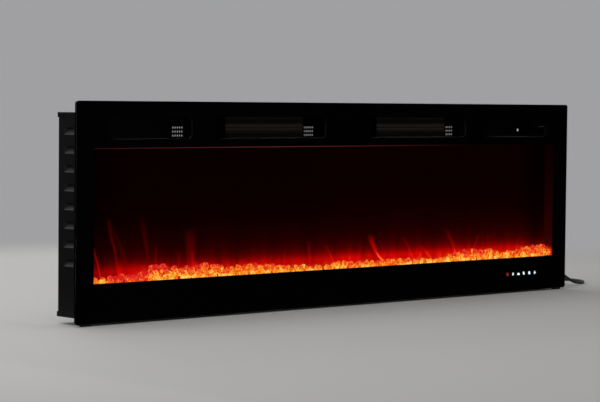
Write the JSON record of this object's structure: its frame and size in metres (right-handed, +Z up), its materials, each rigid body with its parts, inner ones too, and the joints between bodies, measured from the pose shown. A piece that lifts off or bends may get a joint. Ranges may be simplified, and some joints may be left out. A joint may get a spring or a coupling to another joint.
{
  "type": "electric fireplace",
  "caption": "Wide, shallow electric fireplace with a black-bordered glass front, lit crystal bed, flame projector and warm-air outlets, for a recess, wall or table.",
  "frame": {"origin": "middle of the unit's footprint, on the surface that its feet stand on, leaving out the mains lead", "axes": "+X to the right of someone who faces the glass, +Y from the glass to the back, +Z up"},
  "size_m": [1.7189, 0.2124, 0.461],
  "materials": {
    "toughened_glass": "polished toughened glass with a black printed border",
    "black_steel": "fine-textured black powder coat",
    "galvanised_steel": "plain galvanised sheet",
    "smoked_acrylic": "smoked diffusing acrylic, lit red from behind",
    "clear_acrylic": "clear acrylic lit orange from below",
    "ember_glass": "cut glass lumps lit orange from below",
    "circuit_board": "green circuit board with moulded components",
    "bright_aluminium": "plain aluminium",
    "ground_steel": "ground steel bar",
    "motor_case": "zinc-plated pressed case",
    "black_rubber": "moulded black rubber",
    "white_nylon": "natural nylon",
    "red_icon_light": "translucent light pad, red",
    "white_icon_light": "translucent light pad, white",
    "black_plastic": "moulded black plastic",
    "black_screws": "blackened steel",
    "cord_sheath": "soft black PVC",
    "brass_pins": "nickel-brass blades"
  },
  "bodies": {
    "housing": {"board_posts": "white_nylon", "bottom_pan": "black_steel", "burner_deck": "black_steel", "cord_coil": "cord_sheath", "cord_gland": "black_rubber", "cover_screws": "black_screws", "ember_crystals": "ember_glass", "ember_light_strip": "circuit_board", "ember_tray": "clear_acrylic", "flame_light_strip": "circuit_board", "flame_mask": "black_steel", "flame_screen": "smoked_acrylic", "foot_screws": "black_screws", "frame_screws": "black_screws", "front_carrier": "black_steel", "front_feet": "black_rubber", "front_glass": "toughened_glass", "gear_motor": "motor_case", "gear_motor_bracket": "galvanised_steel", "heater_shelf": "black_steel", "icon_pads": "white_icon_light", "left_blower_bush": "white_nylon", "left_blower_motor": "motor_case", "left_firebox_liner": "black_steel", "left_heater_duct": "galvanised_steel", "left_heating_element": "bright_aluminium", "left_outlet_guard": "galvanised_steel", "left_side_panel": "black_steel", "left_thermal_cutout": "galvanised_steel", "light_rail": "bright_aluminium", "plug_body": "black_plastic", "plug_pins": "brass_pins", "power_board": "circuit_board", "power_cord": "cord_sheath", "power_icon_pad": "red_icon_light", "rear_feet": "black_rubber", "rear_panel": "black_steel", "rear_panel_screws": "black_screws", "right_blower_bush": "white_nylon", "right_blower_motor": "motor_case", "right_firebox_liner": "black_steel", "right_heater_duct": "galvanised_steel", "right_heating_element": "bright_aluminium", "right_outlet_guard": "galvanised_steel", "right_side_panel": "black_steel", "right_thermal_cutout": "galvanised_steel", "spindle_bush": "white_nylon", "spindle_end_bracket": "galvanised_steel", "terminal_block": "white_nylon", "top_cover": "black_steel", "touch_board": "circuit_board", "touch_holder": "black_plastic"},
    "flame_spindle": {"spindle_shaft": "ground_steel", "spindle_petals": "bright_aluminium", "spindle_coupling": "black_rubber", "gear_motor_shaft": "ground_steel"},
    "left_blower": {"left_blower_rotor": "bright_aluminium"},
    "right_blower": {"right_blower_rotor": "bright_aluminium"}
  },
  "joints": [
    {"name": "flame_spindle_spin", "type": "hinge", "parent": "housing", "child": "flame_spindle", "pos_m": [-0.039, 0.0129, 0.0505], "axis": [1, 0, 0], "continuous": true},
    {"name": "left_blower_spin", "type": "hinge", "parent": "housing", "child": "left_blower", "pos_m": [-0.239, 0.015, 0.4055], "axis": [1, 0, 0], "continuous": true},
    {"name": "right_blower_spin", "type": "hinge", "parent": "housing", "child": "right_blower", "pos_m": [0.219, 0.015, 0.4055], "axis": [1, 0, 0], "continuous": true}
  ]
}
